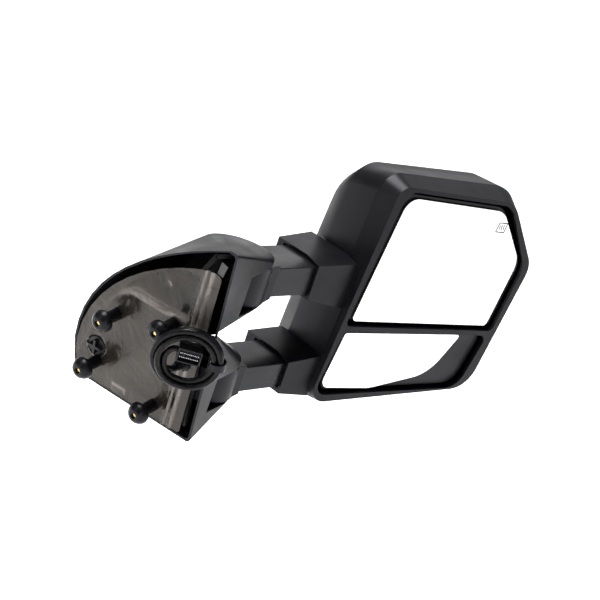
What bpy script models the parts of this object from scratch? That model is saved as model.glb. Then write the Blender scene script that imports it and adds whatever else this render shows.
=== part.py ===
"""Telescoping, folding towing mirror for the right-hand door of a pickup.

+X points outboard along the two arms, +Y points to the front of the vehicle and +Z is up.
The origin is the middle of the four mounting studs, on the face that meets the door.
Every length is in metres.
"""
import math

import bmesh
import bpy
from mathutils import Matrix, Vector

MM = 0.001
GAP = 0.3 * MM                    # gap between touching pieces
ARC_STEPS = 4                     # straight runs in each rounded corner
RING_SIDES = 18

# The door face is turned and leans, so the studs point inboard, rearward and down.
BASE_YAW = math.radians(12.0)
BASE_LEAN = math.radians(12.0)

# The head toes in: its glass faces slightly towards the vehicle.
HEAD_YAW = math.radians(10.0)
HEAD_ORIGIN = Vector((0.238, -0.083, 0.057))     # inboard end of the bar between the glasses

# Fold axis, vertical, through both knuckles.
FOLD_X = 0.088
FOLD_Y = -0.035
DRUM_RADIUS = 39.5 * MM
POCKET_RADIUS = 41.0 * MM
KNUCKLE_HALF_WIDTH = 32.0 * MM
KNUCKLE_END_X = 0.122
FOLD_BACK = 124.0                 # degrees round the axis where the cover's rear wall ends
FOLD_FRONT = 92.0                 # and where its front wall ends

# Arms: a full section outside the head, then a narrower tail inside it.
ARM_REAR_Y = -0.064
ARM_FRONT_Y = -0.006
ARM_START_X = KNUCKLE_END_X + GAP
ARM_FULL_END_X = 0.210
TAIL_END_X = 0.290
TAIL_REAR_Y = -0.040
TAIL_FRONT_Y = -0.010
ARM_WALL = 6.0 * MM               # the arms are hollow, for the cable
TAIL_WALL = 4.0 * MM
GUIDE_X = (0.2665, 0.2735)        # the guide flange that the tails run in

# Per arm: (name, arm bottom, arm top at the rear, arm top), metres above the origin.
UPPER = {"name": "upper", "bottom": 0.097, "rear_top": 0.134, "top": 0.138,
         "drum": (0.0905, 0.1385), "lug": ((0.0842, 0.0892), (0.1400, 0.1460)), "lug_foot": (0.097, 0.100),
         "tail": (0.101, 0.131), "mouth_x": 0.188,
         "mouth": (-0.069, 0.006, 0.092, 0.1425), "root_x": 0.2525,
         "root": (-0.0745, 0.012, 0.080, 0.1460)}
LOWER = {"name": "lower", "bottom": -0.031, "rear_top": 0.002, "top": 0.006,
         "drum": (-0.0365, 0.0065), "lug": ((-0.0430, -0.0380), (0.0080, 0.0135)), "lug_foot": (-0.036, 0.008),
         "tail": (-0.025, 0.000), "mouth_x": 0.193,
         "mouth": (-0.069, 0.010, -0.038, 0.0105), "root_x": 0.2430,
         "root": (-0.0745, 0.000, -0.0430, 0.018)}
ARMS = (UPPER, LOWER)

# Head depths, measured forward from the rim of the rear bezel.
BEZEL_DEPTH = 26.0 * MM
FRONT_WALL = 5.0 * MM
SHELL_WALL = 3.0 * MM
INNER_SIDE_TOP = 0.0893           # heights above and below the bar where the opening for the
SIDE_BOTTOM = -0.1023             # inner side housing stops
SIDE_END_X = 0.2600               # and where it ends outboard
PIVOT_UPPER = (0.156, 0.095, 0.0215)
PIVOT_LOWER = (0.138, -0.046, 0.0185)
JACK_ARM = 0.030                  # lever arm of each jackscrew

# Studs on the door face, in the face's own two directions.
STUDS = ((0.033, 0.035), (-0.047, 0.063), (0.052, -0.041), (-0.038, -0.055))
LOCATOR = (0.057, -0.0225)
GROMMET = (-0.0698, 0.0229)
PAD_HALF = (0.025, 0.022)         # half size of the raised pad that touches the door
PLATE = (4.5 * MM, 9.5 * MM)      # the bracket plate's depth behind the door face
LUG_HALF = 11.0 * MM              # half the width of the bracket's hinge lugs
LUG_KNEE_X = 0.036                # where a lug turns down to the plate

# Harness coil.
COIL_CENTRE = Vector((-0.0164, -0.0972, 0.0438))
COIL_NORMAL = Vector((-0.65, -0.735, -0.20)).normalized()
COIL_RADIUS = 34.0 * MM
COIL_TUBE = 8.3 * MM
CABLE_RADIUS = 3.6 * MM


# ---------------------------------------------------------------- frames

def base_axes():
    normal = Vector((math.cos(BASE_YAW) * math.cos(BASE_LEAN),
                     math.sin(BASE_YAW) * math.cos(BASE_LEAN),
                     math.sin(BASE_LEAN)))
    forward = Vector((-math.sin(BASE_YAW), math.cos(BASE_YAW), 0.0))
    return forward, normal.cross(forward), normal


def head_axes():
    across = Vector((math.cos(HEAD_YAW), -math.sin(HEAD_YAW), 0.0))
    up = Vector((0.0, 0.0, 1.0))
    forward = Vector((math.sin(HEAD_YAW), math.cos(HEAD_YAW), 0.0))
    return across, up, forward


def on_base(along, up, depth=0.0):
    """A point given along the door face, up it, and behind it (towards the arms)."""
    a, b, c = base_axes()
    return a * along + b * up + c * depth


def on_head(across, up, depth=0.0):
    """A point of the head: across it, above the bar, and forward of the rim."""
    a, b, c = head_axes()
    return HEAD_ORIGIN + a * across + b * up + c * depth


def coil_axes():
    right = Vector((0.75, -0.66, 0.0)).normalized()
    right = (right - COIL_NORMAL * right.dot(COIL_NORMAL)).normalized()
    return right, COIL_NORMAL.cross(right)


def on_coil(right, up, out=0.0):
    a, b = coil_axes()
    return COIL_CENTRE + a * right + b * up + COIL_NORMAL * out


# ---------------------------------------------------------------- outlines

def rounded(corners):
    """Corners (a, b, radius) in millimetres -> a closed outline in metres, with true arcs."""
    points = []
    count = len(corners)
    for i in range(count):
        here = Vector(corners[i][:2])
        before = (Vector(corners[i - 1][:2]) - here).normalized()
        after = (Vector(corners[(i + 1) % count][:2]) - here).normalized()
        radius = corners[i][2]
        half = before.angle(after) / 2.0
        reach = radius / math.tan(half)
        centre = here + (before + after).normalized() * (radius / math.sin(half))
        start = here + before * reach - centre
        end = here + after * reach - centre
        turn = math.atan2(start.x * end.y - start.y * end.x, start.dot(end))
        for k in range(ARC_STEPS + 1):
            angle = turn * k / ARC_STEPS
            x = start.x * math.cos(angle) - start.y * math.sin(angle)
            y = start.x * math.sin(angle) + start.y * math.cos(angle)
            points.append(((centre.x + x) * MM, (centre.y + y) * MM))
    return points


def moved_corners(corners, amount):
    """Corners of a convex outline moved outward by amount, in millimetres."""
    if not amount:
        return corners
    middle = sum((Vector(c[:2]) for c in corners), Vector((0.0, 0.0))) / len(corners)
    result = []
    count = len(corners)
    for i in range(count):
        here = Vector(corners[i][:2])
        sides = []
        for other in (Vector(corners[i - 1][:2]), Vector(corners[(i + 1) % count][:2])):
            run = (other - here).normalized()
            normal = Vector((run.y, -run.x))
            if normal.dot(here - middle) < 0.0:
                normal.negate()
            sides.append(normal)
        bisector = sides[0] + sides[1]
        shift = bisector * (amount / (1.0 + sides[0].dot(sides[1])))
        radius = max(corners[i][2] + amount, 1.0)
        result.append((here.x + shift.x, here.y + shift.y, radius))
    return result


def bezier(p0, p1, p2, p3, steps):
    points = []
    for k in range(steps + 1):
        t = k / steps
        w = ((1 - t) ** 3, 3 * t * (1 - t) ** 2, 3 * t * t * (1 - t), t ** 3)
        x = w[0] * p0[0] + w[1] * p1[0] + w[2] * p2[0] + w[3] * p3[0]
        y = w[0] * p0[1] + w[1] * p1[1] + w[2] * p2[1] + w[3] * p3[1]
        points.append((x * MM, y * MM))
    return points


def circle(centre, radius, sides=RING_SIDES, start=0.0, end=360.0):
    steps = sides if end - start >= 360.0 else sides + 1
    span = math.radians(end - start)
    first = math.radians(start)
    return [(centre[0] + radius * math.cos(first + span * k / sides),
             centre[1] + radius * math.sin(first + span * k / sides)) for k in range(steps)]


def scaled(outline, factor, centre):
    return [(centre[0] + (x - centre[0]) * factor, centre[1] + (y - centre[1]) * factor)
            for x, y in outline]


# ---------------------------------------------------------------- solids

def to_object(name, mesh_data):
    mesh = bpy.data.meshes.new(name)
    bmesh.ops.remove_doubles(mesh_data, verts=mesh_data.verts, dist=1e-6)
    bmesh.ops.recalc_face_normals(mesh_data, faces=mesh_data.faces)
    mesh_data.to_mesh(mesh)
    mesh_data.free()
    item = bpy.data.objects.new(name, mesh)
    bpy.context.collection.objects.link(item)
    return item


def hull(points, name="shape"):
    data = bmesh.new()
    for point in points:
        data.verts.new(point)
    bmesh.ops.remove_doubles(data, verts=data.verts, dist=1e-6)
    made = bmesh.ops.convex_hull(data, input=data.verts)
    loose = [v for v in made["geom_interior"] if isinstance(v, bmesh.types.BMVert)]
    bmesh.ops.delete(data, geom=loose, context="VERTS")
    spare = [v for v in data.verts if not v.link_faces]
    bmesh.ops.delete(data, geom=spare, context="VERTS")
    return to_object(name, data)


def loft(rings, name="shape"):
    """Closed solid through rings with the same number of points."""
    data = bmesh.new()
    rows = [[data.verts.new(p) for p in ring] for ring in rings]
    count = len(rows[0])
    for low, high in zip(rows, rows[1:]):
        for i in range(count):
            j = (i + 1) % count
            data.faces.new((low[i], low[j], high[j], high[i]))
    data.faces.new(rows[0])
    data.faces.new(rows[-1])
    return to_object(name, data)


def prism(outline, place, low, high, name="shape"):
    return loft([[place(x, y, depth) for x, y in outline] for depth in (low, high)], name)


def upright(outline, low, high, name="shape"):
    return prism(outline, lambda x, y, z: Vector((x, y, z)), low, high, name)


def block(low, high, name="shape"):
    outline = ((low[0], low[1]), (high[0], low[1]), (high[0], high[1]), (low[0], high[1]))
    return upright(outline, low[2], high[2], name)


def turned(profile, place, centre, name="shape", sides=RING_SIDES):
    """Profile of (radius, depth) pairs turned about the depth direction through centre."""
    rings = []
    for radius, depth in profile:
        rings.append([place(x, y, depth) for x, y in circle(centre, radius, sides)])
    return loft(rings, name)


def tube(points, radius, up, closed=False, sides=14, name="shape"):
    """Round tube along a flat path whose plane has the normal up."""
    count = len(points)
    rings = []
    for i, point in enumerate(points):
        before = points[i - 1] if closed or i > 0 else points[i]
        after = points[(i + 1) % count] if closed or i < count - 1 else points[i]
        side = (after - before).normalized().cross(up).normalized()
        rings.append([point + (side * math.cos(a) + up * math.sin(a)) * radius
                      for a in (2.0 * math.pi * k / sides for k in range(sides))])
    if not closed:
        return loft(rings, name)
    data = bmesh.new()
    rows = [[data.verts.new(p) for p in ring] for ring in rings]
    for r in range(count):
        low, high = rows[r], rows[(r + 1) % count]
        for i in range(sides):
            j = (i + 1) % sides
            data.faces.new((low[i], low[j], high[j], high[i]))
    return to_object(name, data)


def combine(target, others, operation, solver="EXACT"):
    """Union or cut with other solids, which are used up."""
    for other in others:
        step = target.modifiers.new("step", "BOOLEAN")
        step.operation = operation
        step.solver = solver
        step.object = other
        bpy.context.view_layer.update()
        graph = bpy.context.evaluated_depsgraph_get()
        result = bpy.data.meshes.new_from_object(target.evaluated_get(graph))
        target.modifiers.clear()
        old = target.data
        target.data = result
        bpy.data.meshes.remove(old)
        bpy.data.objects.remove(other)
    return target


def join(target, *others, solver="EXACT"):
    return combine(target, others, "UNION", solver)


def cut(target, *others, solver="EXACT"):
    return combine(target, others, "DIFFERENCE", solver)


# ---------------------------------------------------------------- materials and hierarchy

def material(name, colour, roughness, metallic=0.0):
    made = bpy.data.materials.new(name)
    made.use_nodes = True
    shader = made.node_tree.nodes["Principled BSDF"]
    shader.inputs["Base Color"].default_value = (*colour, 1.0)
    shader.inputs["Roughness"].default_value = roughness
    shader.inputs["Metallic"].default_value = metallic
    return made


def make_materials():
    return {
        "black": material("textured_black", (0.035, 0.035, 0.038), 0.6),
        "arm": material("arm_black", (0.028, 0.028, 0.030), 0.45),
        "gasket": material("formed_gasket", (0.16, 0.14, 0.125), 0.35, 0.3),
        "cast": material("coated_aluminium", (0.02, 0.02, 0.022), 0.5, 0.0),
        "steel": material("steel", (0.55, 0.55, 0.57), 0.35, 1.0),
        "zinc": material("yellow_zinc", (0.62, 0.52, 0.24), 0.35, 1.0),
        "mirror": material("silvered_glass", (0.9, 0.91, 0.92), 0.02, 1.0),
        "inner": material("inner_plastic", (0.05, 0.05, 0.05), 0.55),
        "rubber": material("rubber", (0.02, 0.02, 0.02), 0.8),
        "heater": material("heater_film", (0.55, 0.30, 0.08), 0.5),
        "cable": material("taped_cable", (0.02, 0.02, 0.02), 0.6),
        "clip": material("grey_clip", (0.12, 0.12, 0.125), 0.5),
    }


EMPTIES = {}
MATERIALS = {}


def empty(name, point, parent=None):
    item = bpy.data.objects.new(name + "_axis", None)
    bpy.context.collection.objects.link(item)
    if parent:
        item.parent = EMPTIES[parent][0]
        item.location = Vector(point) - EMPTIES[parent][1]
    else:
        item.location = point
    EMPTIES[name] = (item, Vector(point))


def finish(item, name, look, body):
    """Name a finished solid, give it its material and hang it on its body's empty."""
    item.name = name
    item.data.name = name
    holder, point = EMPTIES[body]
    item.data.transform(Matrix.Translation(-point))
    item.parent = holder
    item.data.materials.clear()
    item.data.materials.append(MATERIALS[look])
    item.data.polygons.foreach_set("material_index", [0] * len(item.data.polygons))
    item.data.shade_smooth()
    item.data.set_sharp_from_angle(angle=math.radians(35.0))
    return item


# ---------------------------------------------------------------- base

def rim_outline(inset=0.0):
    """Outer edge of the sail-shaped cover on the door face; its curved edge faces forward."""
    front = bezier((-104 + inset, 185 - inset), (0 - inset * 0.4, 140 - inset),
                   (90 - inset, 70 - inset * 0.5), (92 - inset, -26), 12)
    corner = rounded(((92 - inset, -26, 1), (86 - inset, -73 + inset, 24),
                      (-97 + inset, -77 + inset, 6), (-114 + inset, 184 - inset, 4),
                      (-104 + inset, 185 - inset, 1)))
    return front + corner[ARC_STEPS + 1:-ARC_STEPS - 1]


def gasket_outline():
    front = bezier((-84, 151), (-10, 128), (78, 66), (87.5, -26), 10)
    corner = rounded(((87.5, -26, 1), (82, -69, 22), (-80, -72, 4), (-99, 148, 5), (-84, 151, 1)))
    return front + corner[ARC_STEPS + 1:-ARC_STEPS - 1]


def ring_at(x, y, radius, z):
    return [Vector((px, py, z)) for px, py in circle((x, y), radius)]


LOBE_X = 0.079                    # middle of each lobe's round end


def lobe_points(arm, rim, depth, wall):
    """Corner cloud of one lobe: part of the rim, a roof over the knuckle and a floor."""
    low = arm["drum"][0] - 9.0 * MM + wall * 0.75
    high = arm["drum"][1] + 1.0 * MM
    edge = POCKET_RADIUS + 2.0 * MM - wall
    points = [on_base(x, y, depth) for x, y in rim]
    points += ring_at(LOBE_X, FOLD_Y, edge, high + 7.5 * MM - wall)
    points += ring_at(LOBE_X, FOLD_Y, edge, high)
    points += ring_at(LOBE_X - 3.0 * MM, FOLD_Y, 22.0 * MM, high + 15.0 * MM - wall)
    points += ring_at(LOBE_X, FOLD_Y, edge, arm["drum"][0] - 1.0 * MM)
    points += ring_at(LOBE_X, FOLD_Y, edge - 6.0 * MM, low)
    return points


def cover_body(inset, depth, far_depth, wall):
    rim = rim_outline(inset)
    far = scaled(rim, 0.78, (0.0, 0.030))
    slab = hull([on_base(x, y, depth) for x, y in rim] + [on_base(x, y, far_depth) for x, y in far])
    high = [p for p in rim if p[1] > 0.0780]
    high.append((-0.107 + inset * MM, 0.083))
    low = [p for p in rim if p[1] < 0.080 and p[0] < -0.020]
    low += [(-0.106 + inset * MM, 0.078), (-0.005, -0.0745 + inset * MM), (-0.010, 0.045)]
    upper = hull(lobe_points(UPPER, high, depth, wall))
    lower = hull(lobe_points(LOWER, low, depth, wall))
    return join(slab, upper, lower, solver="MANIFOLD")


def swing_cut(arm):
    """Space that the knuckle and arm sweep between the roof and the floor of a lobe."""
    low = arm["drum"][0] - 1.0 * MM
    high = arm["drum"][1] + 1.0 * MM
    fan = circle((FOLD_X, FOLD_Y), 0.095, 20, -FOLD_BACK, FOLD_FRONT)
    fan.append((FOLD_X, FOLD_Y))
    sweep = upright(fan, low, high)
    return join(sweep, upright(circle((FOLD_X, FOLD_Y), POCKET_RADIUS, 28), low, high))


def build_cover():
    cover = cover_body(0.0, 1.0 * MM, 28.0 * MM, 0.0)
    cut(cover, cover_body(3.0, 3.0 * MM, 25.0 * MM, SHELL_WALL), solver="MANIFOLD")
    cut(cover, prism(rim_outline(3.0), on_base, -1.0 * MM, 3.2 * MM), solver="MANIFOLD")
    cut(cover, swing_cut(UPPER), swing_cut(LOWER), solver="MANIFOLD")
    finish(cover, "base_cover", "black", "base")


def build_bracket():
    outline = ((-0.084, -0.062), (0.070, -0.060), (0.076, -0.020), (0.052, 0.052),
               (-0.020, 0.104), (-0.088, 0.128))
    plate = prism(outline, on_base, *PLATE)
    for arm in ARMS:
        for (low, high), foot_up in zip(arm["lug"], arm["lug_foot"]):
            end = [Vector((x, y, z)) for z in (low, high)
                   for x, y in circle((FOLD_X, FOLD_Y), 12.0 * MM, 14)]
            heel = [Vector((LUG_KNEE_X, y, z)) for z in (low, high)
                    for y in (FOLD_Y - LUG_HALF, FOLD_Y + LUG_HALF)]
            foot = [on_base(FOLD_Y + a, foot_up + b, c) for a in (-LUG_HALF, LUG_HALF)
                    for b in (-4.0 * MM, 4.0 * MM) for c in (6.0 * MM, PLATE[1])]
            knee = [Vector((x, FOLD_Y + y, z)) for x in (LUG_KNEE_X - 4.0 * MM, LUG_KNEE_X + 4.0 * MM)
                    for z in (low, high) for y in (1.0 * MM - LUG_HALF, LUG_HALF - 1.0 * MM)]
            join(plate, hull(end + heel), hull(foot + knee), solver="MANIFOLD")
        bore = upright(circle((FOLD_X, FOLD_Y), 6.3 * MM), arm["lug"][0][0] - 0.002,
                       arm["lug"][1][1] + 0.002)
        cut(plate, bore, solver="MANIFOLD")
    for spot in STUDS:
        cut(plate, turned(((3.3 * MM, 0.0), (3.3 * MM, 0.012)), on_base, spot), solver="MANIFOLD")
    finish(plate, "mount_bracket", "cast", "base")


def build_gasket():
    gasket = prism(gasket_outline(), on_base, 0.5 * MM, 3.2 * MM)
    for spot in STUDS:
        cut(gasket, turned(((5.0 * MM, -0.001), (5.0 * MM, 0.006)), on_base, spot))
    cut(gasket, turned(((13.0 * MM, -0.001), (13.0 * MM, 0.006)), on_base, LOCATOR))
    cut(gasket, turned(((10.0 * MM, -0.001), (10.0 * MM, 0.006)), on_base, GROMMET))
    half_a, half_b = PAD_HALF
    pad = ((-half_a, -half_b), (half_a, -half_b), (half_a, half_b), (-half_a, half_b))
    join(gasket, prism(pad, on_base, 0.0, 2.0 * MM))
    finish(gasket, "base_gasket", "gasket", "base")


def build_studs():
    for number, spot in enumerate(STUDS, 1):
        stud = turned(((6.5 * MM, 12.5 * MM), (6.5 * MM, PLATE[1] + GAP),
                       (3.0 * MM, PLATE[1] + GAP), (3.0 * MM, -31.5 * MM),
                       (2.2 * MM, -32.5 * MM)), on_base, spot, sides=12)
        finish(stud, f"stud_{number}", "zinc", "base")
        profile = ((3.4 * MM, -GAP), (7.5 * MM, -GAP), (7.0 * MM, -21.0 * MM),
                   (13.5 * MM, -22.5 * MM), (13.5 * MM, -26.0 * MM), (11.5 * MM, -31.0 * MM),
                   (7.5 * MM, -34.5 * MM), (3.4 * MM, -35.0 * MM))
        finish(turned_ring(profile, on_base, spot), f"stud_cap_{number}", "rubber", "base")


def turned_ring(profile, place, centre, sides=RING_SIDES):
    """Closed profile turned into a ring with a hole through it."""
    data = bmesh.new()
    rows = [[data.verts.new(place(x, y, depth)) for x, y in circle(centre, radius, sides)]
            for radius, depth in profile]
    for r in range(len(rows)):
        low, high = rows[r], rows[(r + 1) % len(rows)]
        for i in range(sides):
            j = (i + 1) % sides
            data.faces.new((low[i], low[j], high[j], high[i]))
    return to_object("ring", data)


def build_locator():
    peg = turned(((12.5 * MM, PLATE[0] - GAP), (12.5 * MM, 0.5 * MM)), on_base, LOCATOR)
    for half_a, half_b in ((9.5 * MM, 2.2 * MM), (2.2 * MM, 9.5 * MM)):
        a, b = LOCATOR
        bar = ((a - half_a, b - half_b), (a + half_a, b - half_b),
               (a + half_a, b + half_b), (a - half_a, b + half_b))
        join(peg, prism(bar, on_base, 1.5 * MM, -4.5 * MM))
    finish(peg, "locator_peg", "inner", "base")


def build_hinges():
    for arm in ARMS:
        name = arm["name"]
        axis = (FOLD_X, FOLD_Y)
        (low, low_top), (high_bottom, high) = arm["lug"]
        place = lambda x, y, z: Vector((x, y, z))
        pin = turned(((5.4 * MM, low + GAP), (6.0 * MM, low + 1.0 * MM), (6.0 * MM, high + GAP),
                      (9.5 * MM, high + GAP), (9.5 * MM, high + 2.6 * MM),
                      (8.0 * MM, high + 3.4 * MM)), place, axis)
        finish(pin, f"{name}_hinge_pin", "steel", "base")
        plate = turned_ring(((6.3 * MM, low_top + GAP), (15.0 * MM, low_top + GAP),
                             (15.0 * MM, low_top + 3.2 * MM), (6.3 * MM, low_top + 3.2 * MM)),
                            place, axis)
        finish(plate, f"{name}_detent_plate", "steel", "base")
        finish(spring(axis, low_top + 5.2 * MM, 14.0 * MM), f"{name}_detent_spring", "steel", "base")


def spring(axis, bottom, height, turns=3, wire=1.2 * MM, radius=10.5 * MM, sides=6):
    """Wire helix round the pin, as one capped tube."""
    steps = turns * 9
    rings = []
    for k in range(steps + 1):
        angle = 2.0 * math.pi * turns * k / steps
        out = Vector((math.cos(angle), math.sin(angle), 0.0))
        middle = Vector((*axis, bottom + height * k / steps)) + out * radius
        rings.append([middle + (out * math.cos(a) + Vector((0, 0, 1)) * math.sin(a)) * wire
                      for a in (2.0 * math.pi * i / sides for i in range(sides))])
    return loft(rings)


def arc_on_coil(start, end, steps):
    return [on_coil(COIL_RADIUS * math.cos(a), COIL_RADIUS * math.sin(a))
            for a in (math.radians(start + (end - start) * k / steps) for k in range(steps + 1))]


def build_harness():
    grommet = turned(((9.3 * MM, PLATE[0] - GAP), (9.3 * MM, -2.0 * MM), (7.5 * MM, -4.0 * MM),
                      (4.8 * MM, -16.0 * MM)), on_base, GROMMET)
    finish(grommet, "harness_grommet", "rubber", "base")
    circle_points = arc_on_coil(0.0, 360.0, 28)[:-1]
    coil = tube(circle_points, COIL_TUBE, COIL_NORMAL, closed=True, sides=8)
    finish(coil, "harness_coil", "cable", "base")
    tie = tube(arc_on_coil(-12.0, 22.0, 4), COIL_TUBE + 2.6 * MM, COIL_NORMAL, sides=12)
    cut(tie, tube(arc_on_coil(-20.0, 30.0, 6), COIL_TUBE + 1.0 * MM, COIL_NORMAL, sides=12))
    finish(tie, "harness_tie", "clip", "base")
    build_cable("harness_cable", cable_route())
    build_connector()
    build_cable("harness_tail", tail_route())


def cable_route():
    """From the grommet's tip straight on towards the back of the coil."""
    first = on_base(*GROMMET, -16.3 * MM)
    away = base_axes()[2] * -1.0
    return [first + away * (k * 2.8 * MM) for k in range(5)]


CONNECTOR_UP = 10.0 * MM
CONNECTOR_HALF = (13.5 * MM, 9.0 * MM)


def tail_route():
    """From the inner side of the coil to the connector's cable end."""
    start = -(COIL_RADIUS - COIL_TUBE - 5.0 * MM)
    end = -(CONNECTOR_HALF[0] + GAP)
    drops = (4.0 * MM, 2.5 * MM, 0.0, 0.0)
    return [on_coil(start + (end - start) * k / 3, CONNECTOR_UP - drop)
            for k, drop in enumerate(drops)]


def build_cable(name, points):
    """A capped tube, drawn as a curve with a round section."""
    curve = bpy.data.curves.new(name, "CURVE")
    curve.dimensions = "3D"
    curve.bevel_depth = CABLE_RADIUS
    curve.bevel_resolution = 2
    curve.resolution_u = 1
    curve.render_resolution_u = 0
    curve.use_fill_caps = True
    line = curve.splines.new("POLY")
    line.points.add(len(points) - 1)
    holder, origin = EMPTIES["base"]
    for point, place in zip(line.points, points):
        point.co = (*(place - origin), 1.0)
    curve.materials.append(MATERIALS["cable"])
    item = bpy.data.objects.new(name, curve)
    bpy.context.collection.objects.link(item)
    item.parent = holder


def build_connector():
    half_a, half_b = CONNECTOR_HALF
    middle = CONNECTOR_UP

    def rect(a, b):
        return ((-a, middle - b), (a, middle - b), (a, middle + b), (-a, middle + b))

    shell = prism(rect(half_a, half_b), on_coil, -7.0 * MM, 11.0 * MM)
    cut(shell, prism(rect(half_a - 1.6 * MM, half_b - 1.6 * MM), on_coil, 1.0 * MM, 12.0 * MM))
    finish(shell, "harness_connector", "inner", "base")


# ---------------------------------------------------------------- arms

def arm_section(arm):
    """Rear, top and front edges of an arm's section; the rear top edge is chamfered."""
    return ((ARM_REAR_Y, arm["bottom"]), (ARM_FRONT_Y, arm["bottom"]),
            (ARM_FRONT_Y, arm["top"] - 3.0 * MM), (ARM_FRONT_Y - 3.0 * MM, arm["top"]),
            (ARM_REAR_Y + 17.0 * MM, arm["top"]), (ARM_REAR_Y, arm["rear_top"]))


def along_x(outline, low, high):
    return prism(outline, lambda y, z, x: Vector((x, y, z)), low, high)


def build_knuckle(arm):
    low, high = arm["drum"]
    drum = upright(circle((FOLD_X, FOLD_Y), DRUM_RADIUS, 28), low, high)
    half = KNUCKLE_HALF_WIDTH
    side = ((FOLD_X, low), (KNUCKLE_END_X - 12.0 * MM, low),
            (KNUCKLE_END_X, arm["bottom"] - 1.0 * MM), (KNUCKLE_END_X, high), (FOLD_X, high))
    nose = prism(side, lambda x, z, y: Vector((x, y, z)), FOLD_Y - half, FOLD_Y + half)
    join(drum, nose)
    cut(drum, block((KNUCKLE_END_X, -0.2, low - 0.01), (0.2, 0.2, high + 0.01)))
    cut(drum, upright(circle((FOLD_X, FOLD_Y), 6.3 * MM), low - 0.01, high + 0.01))
    cut(drum, upright(circle((FOLD_X, FOLD_Y), 16.0 * MM), low - 0.01, low + 22.0 * MM))
    finish(drum, f"{arm['name']}_knuckle", "black", "arms")


def build_arm(arm):
    bar = along_x(arm_section(arm), ARM_START_X, ARM_FULL_END_X)
    low, high = arm["tail"]
    tail = block((ARM_FULL_END_X - 0.005, TAIL_REAR_Y, low), (TAIL_END_X, TAIL_FRONT_Y, high))
    join(bar, tail)
    wide = block((ARM_START_X - 0.001, ARM_REAR_Y + ARM_WALL, arm["bottom"] + ARM_WALL),
                 (ARM_FULL_END_X - 0.006, ARM_FRONT_Y - ARM_WALL, arm["rear_top"] - ARM_WALL))
    narrow = block((ARM_FULL_END_X - 0.010, TAIL_REAR_Y + TAIL_WALL, low + TAIL_WALL),
                   (TAIL_END_X + 0.001, TAIL_FRONT_Y - TAIL_WALL, high - TAIL_WALL))
    cut(bar, wide, narrow)
    finish(bar, f"{arm['name']}_arm", "arm", "arms")
    stop = block((TAIL_END_X + GAP, TAIL_REAR_Y - 1.5 * MM, low - 1.5 * MM),
                 (TAIL_END_X + 3.3 * MM, TAIL_FRONT_Y + 1.5 * MM, high + 1.5 * MM))
    finish(stop, f"{arm['name']}_arm_stop", "steel", "arms")


# ---------------------------------------------------------------- head shells

LIP = ((0, -106, 22), (273, -84, 38), (305, 103, 34), (231, 189, 44), (29, 195, 18))
CREASE = ((-6, -110, 24), (278, -89, 38), (311, 104, 38), (240, 202, 56), (20, 203, 28))
CAP_RINGS = ((70, ((-14, -112, 26), (276, -92, 40), (306, 100, 40), (230, 201, 54), (12, 199, 34))),
             (100, ((-4, -98, 40), (258, -80, 50), (284, 94, 50), (212, 181, 56), (20, 180, 46))),
             (118, ((12, -70, 50), (226, -56, 50), (244, 84, 50), (188, 150, 50), (34, 150, 46))))
UPPER_OPENING = ((17, 3.5, 8), (279, 3.5, 10), (293, 103, 34), (228, 184, 36), (42, 189, 18))
UPPER_GLASS = ((31, 8, 6), (275, 8, 8), (289, 103, 30), (225, 174, 32), (54, 179, 20))
LOWER_OPENING = ((20, -3.5, 6), (4, -95, 16), (254, -84, 30), (274, -3.5, 10))
LOWER_GLASS = ((28, -8, 4), (16, -87, 12), (100, -88, 75), (196, -66, 60), (231, -6, 4))


def head_ring(corners, depth):
    return [on_head(x, y, depth) for x, y in rounded(corners)]


def head_prism(corners, low, high):
    return prism(rounded(corners), on_head, low, high)


def head_block(low, high):
    outline = ((low[0], low[1]), (high[0], low[1]), (high[0], high[1]), (low[0], high[1]))
    return prism(outline, on_head, low[2], high[2])


def build_bezel():
    bezel = loft((head_ring(LIP, 0.0), head_ring(CREASE, BEZEL_DEPTH)))
    pocket = loft((head_ring(moved_corners(LIP, -3.6), FRONT_WALL),
                   head_ring(moved_corners(CREASE, -3.6), BEZEL_DEPTH + 0.001)))
    cut(bezel, pocket, head_prism(UPPER_OPENING, -0.002, 0.010),
        head_prism(LOWER_OPENING, -0.002, 0.010),
        head_block((-0.030, SIDE_BOTTOM, 0.008), (0.036, INNER_SIDE_TOP, 0.030)), solver="MANIFOLD")
    finish(bezel, "rear_bezel", "black", "head")


def build_cap():
    seam = BEZEL_DEPTH + GAP
    outer = head_ring(CREASE, seam)
    inner = head_ring(moved_corners(CREASE, -3.0), seam - 0.001)
    for depth, corners in CAP_RINGS:
        outer += head_ring(corners, depth * MM)
        inner += head_ring(moved_corners(corners, -3.0), depth * MM - 3.0 * MM)
    cap = hull(outer)
    cut(cap, hull(inner))
    top = HEAD_ORIGIN.z + INNER_SIDE_TOP
    cut(cap, block((0.15, -0.10, HEAD_ORIGIN.z + SIDE_BOTTOM), (SIDE_END_X, 0.0183, top)))
    finish(cap, "front_cap", "black", "head")


def head_shape(inset, rim_depth):
    """Outer shape of the whole head, or the space inside its walls, from one depth forward."""
    points = head_ring(moved_corners(LIP, -inset), rim_depth)
    points += head_ring(moved_corners(CREASE, -inset), BEZEL_DEPTH)
    for depth, corners in CAP_RINGS:
        points += head_ring(moved_corners(corners, -inset), (depth - inset) * MM)
    return hull(points)


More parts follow.
